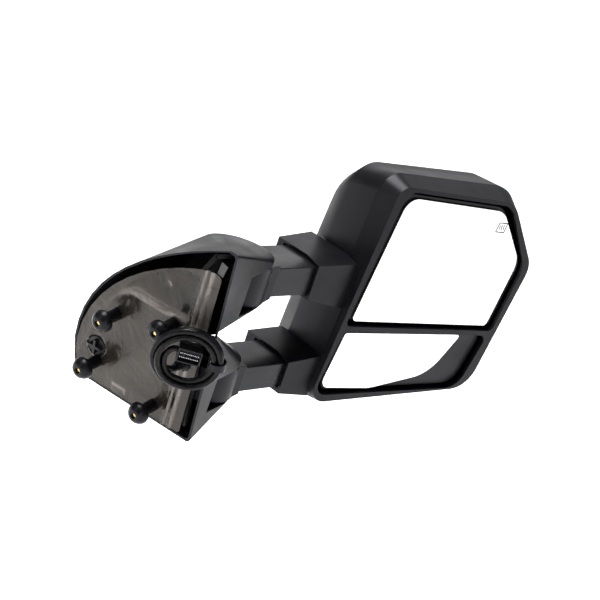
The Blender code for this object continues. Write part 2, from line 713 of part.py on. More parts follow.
def build_side_housing():
    """The head's inner wall, which carries the two collars that the arms slide in."""
    housing = head_shape(0.0, 0.0)
    cut(housing, head_shape(3.0, -0.001), head_block((-0.06, -0.20, -0.01), (0.08, 0.20, 0.0083)),
        solver="MANIFOLD")
    part = block((0.150, -0.100, HEAD_ORIGIN.z + SIDE_BOTTOM + GAP),
                 (SIDE_END_X - GAP, 0.0180, HEAD_ORIGIN.z + INNER_SIDE_TOP - GAP))
    combine(housing, [part], "INTERSECT", "MANIFOLD")
    for arm in ARMS:
        mouth = rect_points(arm["mouth_x"], arm["mouth"])
        root = rect_points(arm["root_x"], arm["root"])
        join(housing, hull(mouth + root), solver="MANIFOLD")
    for arm in ARMS:
        clear = 1.5 * MM
        section = ((ARM_REAR_Y - clear, arm["bottom"] - clear),
                   (ARM_FRONT_Y + clear, arm["bottom"] - clear),
                   (ARM_FRONT_Y + clear, arm["top"] + clear),
                   (ARM_REAR_Y + 17.0 * MM, arm["top"] + clear),
                   (ARM_REAR_Y - clear, arm["rear_top"] + clear))
        cut(housing, along_x(section, 0.170, 0.280), solver="MANIFOLD")
    finish(housing, "side_housing", "black", "head")


def rect_points(x, rect):
    """Collar section with its rear top edge chamfered, as the arm's is."""
    rear, front, low, high = rect
    return [Vector((x, y, z)) for y, z in ((rear, low), (front, low), (front, high),
                                           (rear + 24.0 * MM, high), (rear, high - 5.0 * MM))]


# ---------------------------------------------------------------- head inside

def build_frame():
    low_x, high_x = GUIDE_X
    frame = block((low_x, -0.050, -0.0330), (high_x, -0.002, 0.1400))
    join(frame, head_block((0.022, -0.022, 0.048), (0.140, 0.008, 0.060)))
    join(frame, head_block((0.118, -0.078, 0.056), (0.250, 0.150, 0.060)))
    for arm in ARMS:
        low, high = arm["tail"]
        hole = block((low_x - 0.01, TAIL_REAR_Y - 3.8 * MM, low - 3.8 * MM),
                     (high_x + 0.01, TAIL_FRONT_Y + 3.8 * MM, high + 3.8 * MM))
        cut(frame, hole)
        bush = block((low_x, TAIL_REAR_Y - 3.5 * MM, low - 3.5 * MM),
                     (high_x, TAIL_FRONT_Y + 3.5 * MM, high + 3.5 * MM))
        cut(bush, block((low_x - 0.01, TAIL_REAR_Y - 0.4 * MM, low - 0.4 * MM),
                        (high_x + 0.01, TAIL_FRONT_Y + 0.4 * MM, high + 0.4 * MM)))
        finish(bush, f"{arm['name']}_slide_bush", "inner", "head")
    finish(frame, "head_frame", "inner", "head")


ACTUATOR_HALF = 0.038
ACTUATOR_DEPTH = (0.030, 0.0557)
JACK_HOLE = 3.6 * MM


def build_actuator():
    u, v, _ = PIVOT_UPPER
    near, far = ACTUATOR_DEPTH
    half = ACTUATOR_HALF
    case = head_prism(((u / MM - 38, v / MM - 38, 10), (u / MM + 38, v / MM - 38, 10),
                       (u / MM + 38, v / MM + 38, 10), (u / MM - 38, v / MM + 38, 10)), near, far)
    for spot in jack_spots().values():
        cut(case, turned(((JACK_HOLE, 0.020), (JACK_HOLE, 0.050)), on_head, spot, sides=12))
    screws = ((u - half + 7 * MM, v - half + 7 * MM), (u + half - 7 * MM, v - half + 7 * MM),
              (u + half - 7 * MM, v + half - 7 * MM))
    for number, spot in enumerate(screws, 1):
        cut(case, turned(((2.3 * MM, 0.020), (2.3 * MM, 0.050)), on_head, spot, sides=10))
        screw = turned(((3.2 * MM, near - 2.4 * MM), (3.8 * MM, near - 1.6 * MM),
                        (3.8 * MM, near - GAP), (2.0 * MM, near - GAP), (2.0 * MM, 0.048)),
                       on_head, spot, sides=10)
        finish(screw, f"actuator_screw_{number}", "steel", "head")
    finish(case, "glass_actuator", "inner", "head")


def jack_spots():
    u, v, _ = PIVOT_UPPER
    return {"tilt": (u, v - JACK_ARM), "pan": (u + JACK_ARM, v)}


def build_jackscrews():
    for name, spot in jack_spots().items():
        rod = turned(((2.0 * MM, 0.0185), (3.0 * MM, 0.0200), (3.0 * MM, 0.0440)), on_head, spot,
                     sides=12)
        finish(rod, f"{name}_jackscrew", "inner", f"{name}_screw")


def gimbal(centre, inner, outer, low, high, stub, name, body):
    u, v = centre
    ring = turned_ring(((inner, low), (outer, low), (outer, high), (inner, high)), on_head, centre)
    depth = (low + high) / 2.0
    across, up, _ = head_axes()
    for axis in (across, up):
        for sign in (-1.0, 1.0):
            root = on_head(u, v, depth) + axis * sign * (outer - 1.0 * MM)
            tip = root + axis * sign * (stub + 1.0 * MM)
            join(ring, rod_between(root, tip, 1.6 * MM))
    finish(ring, name, "inner", body)


def rod_between(start, end, radius, sides=8):
    axis = (end - start).normalized()
    side = axis.orthogonal().normalized()
    other = axis.cross(side)
    rings = [[point + (side * math.cos(a) + other * math.sin(a)) * radius
              for a in (2.0 * math.pi * k / sides for k in range(sides))]
             for point in (start, end)]
    return loft(rings)


def build_upper_glass():
    finish(head_prism(UPPER_GLASS, 7.0 * MM, 9.2 * MM), "upper_glass", "mirror", "upper_glass")
    pad = moved_corners(UPPER_GLASS, -9.0)
    finish(head_prism(pad, 9.5 * MM, 10.2 * MM), "upper_heater_pad", "heater", "upper_glass")
    back = moved_corners(UPPER_OPENING, -5.5)
    carrier = head_prism(back, 10.5 * MM, 13.5 * MM)
    join(carrier, turned(((22.0 * MM, 13.0 * MM), (18.0 * MM, 15.5 * MM)), on_head, PIVOT_UPPER[:2]))
    finish(carrier, "upper_glass_carrier", "inner", "upper_glass")


def build_lower_glass():
    finish(head_prism(LOWER_GLASS, 6.0 * MM, 8.2 * MM), "lower_glass", "mirror", "lower_glass")
    back = [(x + (7 if x < 30 else 0), y, r) for x, y, r in moved_corners(LOWER_OPENING, -3.5)]
    carrier = head_prism(back, 8.5 * MM, 11.5 * MM)
    join(carrier, turned(((13.0 * MM, 11.0 * MM), (11.0 * MM, 13.5 * MM)), on_head, PIVOT_LOWER[:2]))
    finish(carrier, "lower_glass_carrier", "inner", "lower_glass")


def build_spotter_mount():
    u, v, _ = PIVOT_LOWER
    mount = head_block((u - 0.036, v - 0.026, 0.0250), (u + 0.036, v + 0.020, 0.0557))
    finish(mount, "spotter_mount", "inner", "head")


# ---------------------------------------------------------------- assembly

def build_empties():
    empty("base", (0.0, 0.0, 0.0))
    empty("arms", (FOLD_X, FOLD_Y, 0.060), "base")
    empty("head", HEAD_ORIGIN, "arms")
    empty("tilt_screw", on_head(*jack_spots()["tilt"], 0.030), "head")
    empty("pan_screw", on_head(*jack_spots()["pan"], 0.030), "head")
    empty("upper_gimbal", on_head(*PIVOT_UPPER), "head")
    empty("upper_glass", on_head(*PIVOT_UPPER), "upper_gimbal")
    empty("lower_gimbal", on_head(*PIVOT_LOWER), "head")
    empty("lower_glass", on_head(*PIVOT_LOWER), "lower_gimbal")


def main():
    for old in list(bpy.data.objects):
        bpy.data.objects.remove(old)
    MATERIALS.update(make_materials())
    build_empties()
    build_bracket()
    build_gasket()
    build_cover()
    build_studs()
    build_locator()
    build_hinges()
    build_harness()
    for arm in ARMS:
        build_knuckle(arm)
        build_arm(arm)
    build_bezel()
    build_cap()
    build_side_housing()
    build_frame()
    build_actuator()
    build_jackscrews()
    build_spotter_mount()
    gimbal(PIVOT_UPPER[:2], 19.0 * MM, 24.0 * MM, 19.5 * MM, 23.5 * MM, 3.0 * MM,
           "upper_gimbal_ring", "upper_gimbal")
    gimbal(PIVOT_LOWER[:2], 11.0 * MM, 15.0 * MM, 16.5 * MM, 20.5 * MM, 2.5 * MM,
           "lower_gimbal_ring", "lower_gimbal")
    build_upper_glass()
    build_lower_glass()


main()
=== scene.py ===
"""Looks of the telescoping towing mirror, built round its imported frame.

The camera and the harness come first, then the shells, the glasses, the formed gasket and the
studs. Every length is in metres, in the frame of the part: +X outboard, +Y forward, +Z up.
"""

import math

import bmesh
import bpy
from mathutils import Matrix, Vector


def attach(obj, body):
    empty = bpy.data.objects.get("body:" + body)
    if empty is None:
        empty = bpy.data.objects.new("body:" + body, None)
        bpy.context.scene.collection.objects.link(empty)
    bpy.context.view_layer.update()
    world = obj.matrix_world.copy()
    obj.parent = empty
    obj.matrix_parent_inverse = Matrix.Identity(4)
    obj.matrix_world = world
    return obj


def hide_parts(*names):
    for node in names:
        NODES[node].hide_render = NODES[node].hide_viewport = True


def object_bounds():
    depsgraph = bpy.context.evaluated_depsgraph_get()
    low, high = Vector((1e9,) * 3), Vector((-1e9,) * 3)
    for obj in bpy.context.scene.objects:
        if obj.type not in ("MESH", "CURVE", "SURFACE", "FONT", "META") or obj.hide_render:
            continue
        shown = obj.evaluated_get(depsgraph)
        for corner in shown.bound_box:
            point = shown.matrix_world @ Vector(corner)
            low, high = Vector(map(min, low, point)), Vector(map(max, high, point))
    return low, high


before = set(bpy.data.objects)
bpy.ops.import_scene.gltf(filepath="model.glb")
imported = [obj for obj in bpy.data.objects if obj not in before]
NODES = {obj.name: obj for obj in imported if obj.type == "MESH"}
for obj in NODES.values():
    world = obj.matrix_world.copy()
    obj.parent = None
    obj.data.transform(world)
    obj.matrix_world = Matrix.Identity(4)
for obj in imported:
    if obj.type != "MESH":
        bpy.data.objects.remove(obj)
CAD_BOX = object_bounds()

MM = 0.001
GAP = 0.3 * MM                    # gap between touching pieces
ARC_STEPS = 9                     # straight runs in each rounded corner
RING_SIDES = 44

# The door face is turned and leans, so the studs point inboard, rearward and down.
BASE_YAW = math.radians(12.0)
BASE_LEAN = math.radians(12.0)

# The head toes in: its glass faces slightly towards the vehicle.
HEAD_YAW = math.radians(10.0)
HEAD_ORIGIN = Vector((0.238, -0.083, 0.057))     # inboard end of the bar between the glasses

# Fold axis, vertical, through both knuckles.
FOLD_X = 0.088
FOLD_Y = -0.035
POCKET_RADIUS = 41.0 * MM
FOLD_BACK = 124.0                 # degrees round the axis where the cover's rear wall ends
FOLD_FRONT = 92.0                 # and where its front wall ends

# Per arm: height of the bottom and the top of its knuckle's drum.
UPPER = {"drum": (0.0905, 0.1385)}
LOWER = {"drum": (-0.0365, 0.0065)}

# Head depths, measured forward from the rim of the rear bezel.
BEZEL_DEPTH = 26.0 * MM
FRONT_WALL = 5.0 * MM
SHELL_WALL = 3.0 * MM
INNER_SIDE_TOP = 0.0893           # heights above and below the bar where the opening for the
SIDE_BOTTOM = -0.1023             # inner side housing stops
SIDE_END_X = 0.2600               # and where it ends outboard

# Studs on the door face, in the face's own two directions.
STUDS = ((0.033, 0.035), (-0.047, 0.063), (0.052, -0.041), (-0.038, -0.055))
LOCATOR = (0.057, -0.0225)
GROMMET = (-0.0698, 0.0229)
PLATE = (4.5 * MM, 9.5 * MM)      # the bracket plate's depth behind the door face

# Harness coil.
COIL_CENTRE = Vector((-0.0164, -0.0972, 0.0438))
COIL_NORMAL = Vector((-0.65, -0.735, -0.20)).normalized()
COIL_RADIUS = 34.0 * MM
COIL_TUBE = 8.3 * MM
CABLE_RADIUS = 3.6 * MM


LIP = ((0, -106, 22), (273, -84, 38), (305, 103, 34), (231, 189, 44), (29, 195, 18))
CREASE = ((-6, -110, 24), (278, -89, 38), (311, 104, 38), (240, 202, 56), (20, 203, 28))
CAP_RINGS = ((70, ((-14, -112, 26), (276, -92, 40), (306, 100, 40), (230, 201, 54), (12, 199, 34))),
             (100, ((-4, -98, 40), (258, -80, 50), (284, 94, 50), (212, 181, 56), (20, 180, 46))),
             (118, ((12, -70, 50), (226, -56, 50), (244, 84, 50), (188, 150, 50), (34, 150, 46))))
UPPER_OPENING = ((17, 3.5, 8), (279, 3.5, 10), (293, 103, 34), (228, 184, 36), (42, 189, 18))
UPPER_GLASS = ((31, 8, 6), (275, 8, 8), (289, 103, 30), (225, 174, 32), (54, 179, 20))
LOWER_OPENING = ((20, -3.5, 6), (4, -95, 16), (254, -84, 30), (274, -3.5, 10))
LOWER_GLASS = ((28, -8, 4), (16, -87, 12), (100, -88, 75), (196, -66, 60), (231, -6, 4))
LOBE_X = 0.079                    # middle of each lobe's round end
CONNECTOR_UP = 10.0 * MM
CONNECTOR_HALF = (13.5 * MM, 9.0 * MM)


def base_axes():
    normal = Vector((math.cos(BASE_YAW) * math.cos(BASE_LEAN),
                     math.sin(BASE_YAW) * math.cos(BASE_LEAN),
                     math.sin(BASE_LEAN)))
    forward = Vector((-math.sin(BASE_YAW), math.cos(BASE_YAW), 0.0))
    return forward, normal.cross(forward), normal


def head_axes():
    across = Vector((math.cos(HEAD_YAW), -math.sin(HEAD_YAW), 0.0))
    up = Vector((0.0, 0.0, 1.0))
    forward = Vector((math.sin(HEAD_YAW), math.cos(HEAD_YAW), 0.0))
    return across, up, forward


def on_base(along, up, depth=0.0):
    """A point given along the door face, up it, and behind it (towards the arms)."""
    a, b, c = base_axes()
    return a * along + b * up + c * depth


def on_head(across, up, depth=0.0):
    """A point of the head: across it, above the bar, and forward of the rim."""
    a, b, c = head_axes()
    return HEAD_ORIGIN + a * across + b * up + c * depth


def coil_axes():
    right = Vector((0.75, -0.66, 0.0)).normalized()
    right = (right - COIL_NORMAL * right.dot(COIL_NORMAL)).normalized()
    return right, COIL_NORMAL.cross(right)


def on_coil(right, up, out=0.0):
    a, b = coil_axes()
    return COIL_CENTRE + a * right + b * up + COIL_NORMAL * out


def rounded(corners):
    """Corners (a, b, radius) in millimetres -> a closed outline in metres, with true arcs."""
    points = []
    count = len(corners)
    for i in range(count):
        here = Vector(corners[i][:2])
        before = (Vector(corners[i - 1][:2]) - here).normalized()
        after = (Vector(corners[(i + 1) % count][:2]) - here).normalized()
        radius = corners[i][2]
        half = before.angle(after) / 2.0
        reach = radius / math.tan(half)
        centre = here + (before + after).normalized() * (radius / math.sin(half))
        start = here + before * reach - centre
        end = here + after * reach - centre
        turn = math.atan2(start.x * end.y - start.y * end.x, start.dot(end))
        for k in range(ARC_STEPS + 1):
            angle = turn * k / ARC_STEPS
            x = start.x * math.cos(angle) - start.y * math.sin(angle)
            y = start.x * math.sin(angle) + start.y * math.cos(angle)
            points.append(((centre.x + x) * MM, (centre.y + y) * MM))
    return points


def moved_corners(corners, amount):
    """Corners of a convex outline moved outward by amount, in millimetres."""
    if not amount:
        return corners
    middle = sum((Vector(c[:2]) for c in corners), Vector((0.0, 0.0))) / len(corners)
    result = []
    count = len(corners)
    for i in range(count):
        here = Vector(corners[i][:2])
        sides = []
        for other in (Vector(corners[i - 1][:2]), Vector(corners[(i + 1) % count][:2])):
            run = (other - here).normalized()
            normal = Vector((run.y, -run.x))
            if normal.dot(here - middle) < 0.0:
                normal.negate()
            sides.append(normal)
        bisector = sides[0] + sides[1]
        shift = bisector * (amount / (1.0 + sides[0].dot(sides[1])))
        radius = max(corners[i][2] + amount, 1.0)
        result.append((here.x + shift.x, here.y + shift.y, radius))
    return result


def bezier(p0, p1, p2, p3, steps):
    points = []
    for k in range(steps + 1):
        t = k / steps
        w = ((1 - t) ** 3, 3 * t * (1 - t) ** 2, 3 * t * t * (1 - t), t ** 3)
        x = w[0] * p0[0] + w[1] * p1[0] + w[2] * p2[0] + w[3] * p3[0]
        y = w[0] * p0[1] + w[1] * p1[1] + w[2] * p2[1] + w[3] * p3[1]
        points.append((x * MM, y * MM))
    return points


def circle(centre, radius, sides=RING_SIDES, start=0.0, end=360.0):
    steps = sides if end - start >= 360.0 else sides + 1
    span = math.radians(end - start)
    first = math.radians(start)
    return [(centre[0] + radius * math.cos(first + span * k / sides),
             centre[1] + radius * math.sin(first + span * k / sides)) for k in range(steps)]


def scaled(outline, factor, centre):
    return [(centre[0] + (x - centre[0]) * factor, centre[1] + (y - centre[1]) * factor)
            for x, y in outline]


def to_object(name, mesh_data):
    mesh = bpy.data.meshes.new(name)
    bmesh.ops.remove_doubles(mesh_data, verts=mesh_data.verts, dist=1e-6)
    bmesh.ops.recalc_face_normals(mesh_data, faces=mesh_data.faces)
    mesh_data.to_mesh(mesh)
    mesh_data.free()
    item = bpy.data.objects.new(name, mesh)
    bpy.context.collection.objects.link(item)
    return item


def hull(points, name="shape"):
    data = bmesh.new()
    for point in points:
        data.verts.new(point)
    bmesh.ops.remove_doubles(data, verts=data.verts, dist=1e-6)
    made = bmesh.ops.convex_hull(data, input=data.verts)
    loose = [v for v in made["geom_interior"] if isinstance(v, bmesh.types.BMVert)]
    bmesh.ops.delete(data, geom=loose, context="VERTS")
    spare = [v for v in data.verts if not v.link_faces]
    bmesh.ops.delete(data, geom=spare, context="VERTS")
    return to_object(name, data)


def loft(rings, name="shape"):
    """Closed solid through rings with the same number of points."""
    data = bmesh.new()
    rows = [[data.verts.new(p) for p in ring] for ring in rings]
    count = len(rows[0])
    for low, high in zip(rows, rows[1:]):
        for i in range(count):
            j = (i + 1) % count
            data.faces.new((low[i], low[j], high[j], high[i]))
    data.faces.new(rows[0])
    data.faces.new(rows[-1])
    return to_object(name, data)


def prism(outline, place, low, high, name="shape"):
    return loft([[place(x, y, depth) for x, y in outline] for depth in (low, high)], name)


def upright(outline, low, high, name="shape"):
    return prism(outline, lambda x, y, z: Vector((x, y, z)), low, high, name)


def block(low, high, name="shape"):
    outline = ((low[0], low[1]), (high[0], low[1]), (high[0], high[1]), (low[0], high[1]))
    return upright(outline, low[2], high[2], name)


def turned(profile, place, centre, name="shape", sides=RING_SIDES):
    """Profile of (radius, depth) pairs turned about the depth direction through centre."""
    rings = []
    for radius, depth in profile:
        rings.append([place(x, y, depth) for x, y in circle(centre, radius, sides)])
    return loft(rings, name)


def turned_ring(profile, place, centre, sides=RING_SIDES):
    """Closed profile turned into a ring with a hole through it."""
    data = bmesh.new()
    rows = [[data.verts.new(place(x, y, depth)) for x, y in circle(centre, radius, sides)]
            for radius, depth in profile]
    for r in range(len(rows)):
        low, high = rows[r], rows[(r + 1) % len(rows)]
        for i in range(sides):
            j = (i + 1) % sides
            data.faces.new((low[i], low[j], high[j], high[i]))
    return to_object("ring", data)


def tube(points, radius, up, closed=False, sides=14, name="shape"):
    """Round tube along a flat path whose plane has the normal up."""
    count = len(points)
    rings = []
    for i, point in enumerate(points):
        before = points[i - 1] if closed or i > 0 else points[i]
        after = points[(i + 1) % count] if closed or i < count - 1 else points[i]
        side = (after - before).normalized().cross(up).normalized()
        rings.append([point + (side * math.cos(a) + up * math.sin(a)) * radius
                      for a in (2.0 * math.pi * k / sides for k in range(sides))])
    if not closed:
        return loft(rings, name)
    data = bmesh.new()
    rows = [[data.verts.new(p) for p in ring] for ring in rings]
    for r in range(count):
        low, high = rows[r], rows[(r + 1) % count]
        for i in range(sides):
            j = (i + 1) % sides
            data.faces.new((low[i], low[j], high[j], high[i]))
    return to_object(name, data)


def combine(target, others, operation, solver="EXACT"):
    """Union or cut with other solids, which are used up."""
    for other in others:
        step = target.modifiers.new("step", "BOOLEAN")
        step.operation = operation
        step.solver = solver
        step.object = other
        bpy.context.view_layer.update()
        graph = bpy.context.evaluated_depsgraph_get()
        result = bpy.data.meshes.new_from_object(target.evaluated_get(graph))
        target.modifiers.clear()
        old = target.data
        target.data = result
        bpy.data.meshes.remove(old)
        bpy.data.objects.remove(other)
    return target


def join(target, *others, solver="EXACT"):
    return combine(target, others, "UNION", solver)


def cut(target, *others, solver="EXACT"):
    return combine(target, others, "DIFFERENCE", solver)


def rim_outline(inset=0.0):
    """Outer edge of the sail-shaped cover on the door face; its curved edge faces forward."""
    front = bezier((-104 + inset, 185 - inset), (0 - inset * 0.4, 140 - inset),
                   (90 - inset, 70 - inset * 0.5), (92 - inset, -26), 12)
    corner = rounded(((92 - inset, -26, 1), (86 - inset, -73 + inset, 24),
                      (-97 + inset, -77 + inset, 6), (-114 + inset, 184 - inset, 4),
                      (-104 + inset, 185 - inset, 1)))
    return front + corner[ARC_STEPS + 1:-ARC_STEPS - 1]


def gasket_outline():
    front = bezier((-84, 151), (-10, 128), (78, 66), (87.5, -26), 10)
    corner = rounded(((87.5, -26, 1), (82, -69, 22), (-80, -72, 4), (-99, 148, 5), (-84, 151, 1)))
    return front + corner[ARC_STEPS + 1:-ARC_STEPS - 1]


def ring_at(x, y, radius, z):
    return [Vector((px, py, z)) for px, py in circle((x, y), radius)]


def lobe_points(arm, rim, depth, wall):
    """Corner cloud of one lobe: part of the rim, a roof over the knuckle and a floor."""
    low = arm["drum"][0] - 9.0 * MM + wall * 0.75
    high = arm["drum"][1] + 1.0 * MM
    edge = POCKET_RADIUS + 2.0 * MM - wall
    points = [on_base(x, y, depth) for x, y in rim]
    points += ring_at(LOBE_X, FOLD_Y, edge, high + 7.5 * MM - wall)
    points += ring_at(LOBE_X, FOLD_Y, edge, high)
    points += ring_at(LOBE_X - 3.0 * MM, FOLD_Y, 22.0 * MM, high + 15.0 * MM - wall)
    points += ring_at(LOBE_X, FOLD_Y, edge, arm["drum"][0] - 1.0 * MM)
    points += ring_at(LOBE_X, FOLD_Y, edge - 6.0 * MM, low)
    return points


def cover_body(inset, depth, far_depth, wall):
    rim = rim_outline(inset)
    far = scaled(rim, 0.78, (0.0, 0.030))
    slab = hull([on_base(x, y, depth) for x, y in rim] + [on_base(x, y, far_depth) for x, y in far])
    high = [p for p in rim if p[1] > 0.0780]
    high.append((-0.107 + inset * MM, 0.083))
    low = [p for p in rim if p[1] < 0.080 and p[0] < -0.020]
    low += [(-0.106 + inset * MM, 0.078), (-0.005, -0.0745 + inset * MM), (-0.010, 0.045)]
    upper = hull(lobe_points(UPPER, high, depth, wall))
    lower = hull(lobe_points(LOWER, low, depth, wall))
    return join(slab, upper, lower, solver="MANIFOLD")


def swing_cut(arm):
    """Space that the knuckle and arm sweep between the roof and the floor of a lobe."""
    low = arm["drum"][0] - 1.0 * MM
    high = arm["drum"][1] + 1.0 * MM
    fan = circle((FOLD_X, FOLD_Y), 0.095, 20, -FOLD_BACK, FOLD_FRONT)
    fan.append((FOLD_X, FOLD_Y))
    sweep = upright(fan, low, high)
    return join(sweep, upright(circle((FOLD_X, FOLD_Y), POCKET_RADIUS, 28), low, high))


def arc_on_coil(start, end, steps):
    return [on_coil(COIL_RADIUS * math.cos(a), COIL_RADIUS * math.sin(a))
            for a in (math.radians(start + (end - start) * k / steps) for k in range(steps + 1))]


def head_ring(corners, depth):
    return [on_head(x, y, depth) for x, y in rounded(corners)]


def head_prism(corners, low, high):
    return prism(rounded(corners), on_head, low, high)


def head_block(low, high):
    outline = ((low[0], low[1]), (high[0], low[1]), (high[0], high[1]), (low[0], high[1]))
    return prism(outline, on_head, low[2], high[2])


# ---------------------------------------------------------------- camera and light

def set_camera():
    data = bpy.data.cameras.new("camera")
    data.lens = 85.0
    data.sensor_width = 36.0
    data.clip_start = 0.01
    camera = bpy.data.objects.new("camera", data)
    bpy.context.collection.objects.link(camera)
    azimuth, elevation, roll = (math.radians(a) for a in (-51.5, 19.4, -18.95))
    aim = Vector((0.1726, -0.0699, 0.0938))
    back = Vector((math.sin(azimuth) * math.cos(elevation), -math.cos(azimuth) * math.cos(elevation),
                   math.sin(elevation)))
    level = Vector((0.0, 0.0, 1.0)).cross(back).normalized()
    upright_axis = back.cross(level)
    right = level * math.cos(roll) - upright_axis * math.sin(roll)
    up = level * math.sin(roll) + upright_axis * math.cos(roll)
    place = aim + back * 1.70
    camera.matrix_world = Matrix(((right.x, up.x, back.x, place.x), (right.y, up.y, back.y, place.y),
                                  (right.z, up.z, back.z, place.z), (0.0, 0.0, 0.0, 1.0)))
    bpy.context.scene.camera = camera


def area_light(name, place, aim, size, power):
    data = bpy.data.lights.new(name, "AREA")
    data.shape = "RECTANGLE"
    data.size, data.size_y = size
    data.energy = power
    light = bpy.data.objects.new(name, data)
    light.location = place
    light.rotation_euler = (Vector(aim) - Vector(place)).to_track_quat("-Z", "Y").to_euler()
    bpy.context.collection.objects.link(light)


def set_studio():
    world = bpy.data.worlds.new("studio")
    bpy.context.scene.world = world
    world.use_nodes = True
    tree = world.node_tree
    back = tree.nodes["Background"]
    back.inputs["Color"].default_value = (1.0, 1.0, 1.0, 1.0)
    place = node(tree, "ShaderNodeTexCoord")
    split = node(tree, "ShaderNodeSeparateXYZ")
    tree.links.new(place.outputs["Generated"], split.inputs["Vector"])
    height = node(tree, "ShaderNodeMapRange", interpolation_type="SMOOTHSTEP")
    height.inputs["From Min"].default_value = 0.05
    height.inputs["From Max"].default_value = 0.95
    height.inputs["To Min"].default_value = 0.22
    height.inputs["To Max"].default_value = 0.50
    tree.links.new(split.outputs["Z"], height.inputs["Value"])
    tree.links.new(height.outputs["Result"], back.inputs["Strength"])
    bpy.context.scene.view_settings.view_transform = "Standard"
    middle = (0.15, -0.05, 0.05)
    area_light("top", (-0.1, 0.5, 2.0), middle, (1.6, 0.9), 62.0)
    area_light("back", (1.6, 1.3, 1.1), middle, (2.2, 1.0), 8.0)
    area_light("side", (-1.9, 0.3, 0.9), middle, (0.5, 1.2), 4.0)
    area_light("strip", (-0.9, -1.7, 0.2), middle, (0.25, 1.2), 5.0)
    low = CAD_BOX[0][2] - 0.12
    data = bmesh.new()
    bmesh.ops.create_grid(data, x_segments=2, y_segments=2, size=9.0)
    bmesh.ops.translate(data, verts=data.verts, vec=(0.0, 0.0, low))
    mesh = bpy.data.meshes.new("floor")
    data.to_mesh(mesh)
    data.free()
    floor = bpy.data.objects.new("floor", mesh)
    bpy.context.collection.objects.link(floor)
    floor.data.materials.append(plain_floor())


def plain_floor():
    made, shader, _ = new_material("floor_pale", (0.93, 0.93, 0.93), 0.9)
    shader.inputs["Emission Color"].default_value = (1.0, 1.0, 1.0, 1.0)
    shader.inputs["Emission Strength"].default_value = 0.75
    return made


# ---------------------------------------------------------------- materials

def new_material(name, colour, roughness, metallic=0.0):
    made = bpy.data.materials.new(name)
    made.use_nodes = True
    tree = made.node_tree
    shader = tree.nodes["Principled BSDF"]
    shader.inputs["Base Color"].default_value = (*colour, 1.0)
    shader.inputs["Roughness"].default_value = roughness
    shader.inputs["Metallic"].default_value = metallic
    return made, shader, tree


def node(tree, kind, **values):
    made = tree.nodes.new(kind)
    for key, value in values.items():
        setattr(made, key, value)
    return made


def surface(name, colour, roughness, metallic=0.0, grain=1400.0, depth=0.12, blotch=18.0,
            spread=0.14, rough_spread=0.08, shine=0.5, ripple=0.0, relief=None):
    """Coloured surface with fine grain, soft blotches and uneven gloss, in the part's own space."""
    made, shader, tree = new_material(name, colour, roughness, metallic)
    place = node(tree, "ShaderNodeTexCoord")
    source = place.outputs["Object"]
    shader.inputs["Specular IOR Level"].default_value = shine
    if shine < 0.5:
        shader.inputs["Specular Tint"].default_value = (0.93, 0.93, 1.0, 1.0)
    soft = node(tree, "ShaderNodeTexNoise")
    soft.inputs["Scale"].default_value = blotch
    soft.inputs["Detail"].default_value = 4.0
    tree.links.new(source, soft.inputs["Vector"])
    ramp = node(tree, "ShaderNodeValToRGB")
    ramp.color_ramp.elements[0].position = 0.3
    ramp.color_ramp.elements[1].position = 0.7
    ramp.color_ramp.elements[0].color = (*(c * (1.0 - spread) for c in colour), 1.0)
    ramp.color_ramp.elements[1].color = (*(min(c * (1.0 + spread), 1.0) for c in colour), 1.0)
    tree.links.new(soft.outputs["Fac"], ramp.inputs["Fac"])
    tree.links.new(ramp.outputs["Color"], shader.inputs["Base Color"])
    gloss = node(tree, "ShaderNodeMapRange")
    gloss.inputs["From Min"].default_value = 0.3
    gloss.inputs["From Max"].default_value = 0.7
    gloss.inputs["To Min"].default_value = max(roughness - rough_spread, 0.02)
    gloss.inputs["To Max"].default_value = min(roughness + rough_spread, 1.0)
    fine = node(tree, "ShaderNodeTexNoise")
    fine.inputs["Scale"].default_value = grain
    fine.inputs["Detail"].default_value = 2.0
    tree.links.new(source, fine.inputs["Vector"])
    tree.links.new(soft.outputs["Fac"], gloss.inputs["Value"])
    tree.links.new(gloss.outputs["Result"], shader.inputs["Roughness"])
    bump = node(tree, "ShaderNodeBump")
    bump.inputs["Strength"].default_value = depth
    bump.inputs["Distance"].default_value = 0.0004
    tree.links.new(fine.outputs["Fac"], bump.inputs["Height"])
    tree.links.new(bump.outputs["Normal"], shader.inputs["Normal"])
    if relief:  # painted light and dark that follow the pressed relief, not real dirt
        painted = node(tree, "ShaderNodeAttribute")
        painted.attribute_name = "painted_relief_shade"
        shade = node(tree, "ShaderNodeValToRGB")
        shade.color_ramp.elements[0].color = (*relief[0], 1.0)
        shade.color_ramp.elements[1].color = (*relief[1], 1.0)
        shade.color_ramp.elements.new(0.45).color = (*colour, 1.0)
        tree.links.new(painted.outputs["Fac"], shade.inputs["Fac"])
        blend = node(tree, "ShaderNodeMix")
        blend.data_type = "RGBA"
        blend.blend_type = "MULTIPLY"
        blend.inputs[0].default_value = 1.0
        tree.links.new(shade.outputs["Color"], blend.inputs[6])
        tree.links.new(ramp.outputs["Color"], blend.inputs[7])
        ramp.color_ramp.elements[0].color = (0.62, 0.62, 0.62, 1.0)
        ramp.color_ramp.elements[1].color = (1.0, 1.0, 1.0, 1.0)
        tree.links.new(blend.outputs[2], shader.inputs["Base Color"])
    if ripple:
        waves = node(tree, "ShaderNodeTexNoise")
        waves.inputs["Scale"].default_value = 26.0
        waves.inputs["Detail"].default_value = 3.0
        waves.inputs["Distortion"].default_value = 0.6
        tree.links.new(source, waves.inputs["Vector"])
        swell = node(tree, "ShaderNodeBump")
        swell.inputs["Strength"].default_value = ripple
        swell.inputs["Distance"].default_value = 0.006
        tree.links.new(waves.outputs["Fac"], swell.inputs["Height"])
        tree.links.new(swell.outputs["Normal"], bump.inputs["Normal"])
    return made


